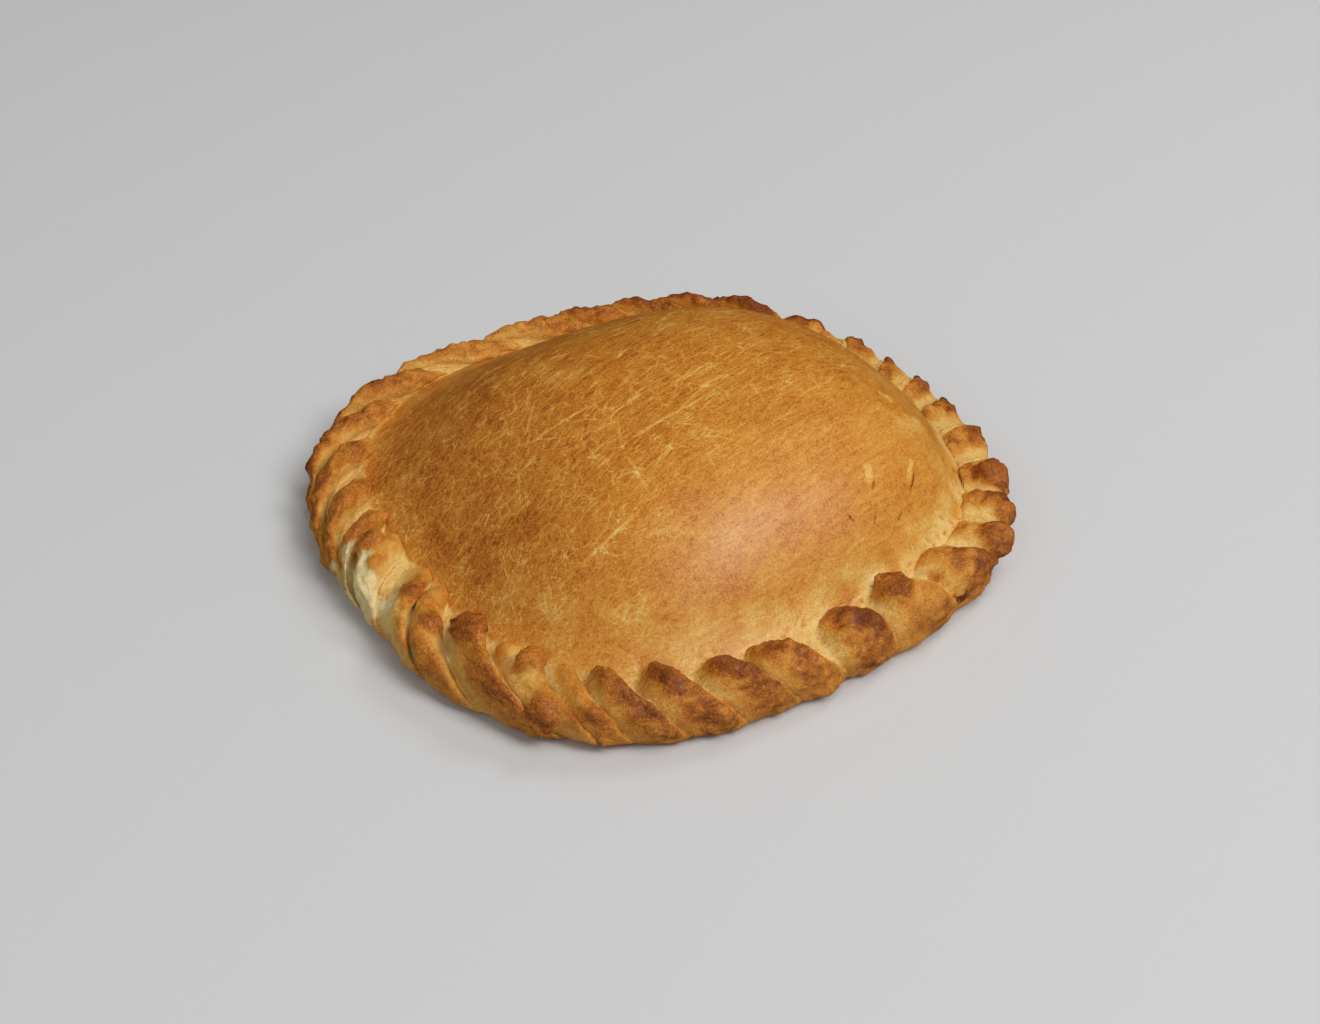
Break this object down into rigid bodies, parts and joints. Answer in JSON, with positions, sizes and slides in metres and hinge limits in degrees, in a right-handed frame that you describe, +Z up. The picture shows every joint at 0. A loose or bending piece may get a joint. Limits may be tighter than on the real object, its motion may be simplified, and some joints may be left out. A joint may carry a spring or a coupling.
{
  "type": "empanada",
  "caption": "Round, domed hand pie of baked golden dough, closed round its rim by a twisted rope edge, for food and table scenes.",
  "frame": {"origin": "middle of the flat base, on the surface that the pie lies on", "axes": "+Z up through the dome, -Y towards the side that the picture shows at the front, +X to its right"},
  "size_m": [0.1592, 0.1566, 0.039],
  "materials": {
    "crust": "satin, egg-washed baked pastry"
  },
  "bodies": {
    "root": {"empanada": "crust"}
  },
  "joints": []
}
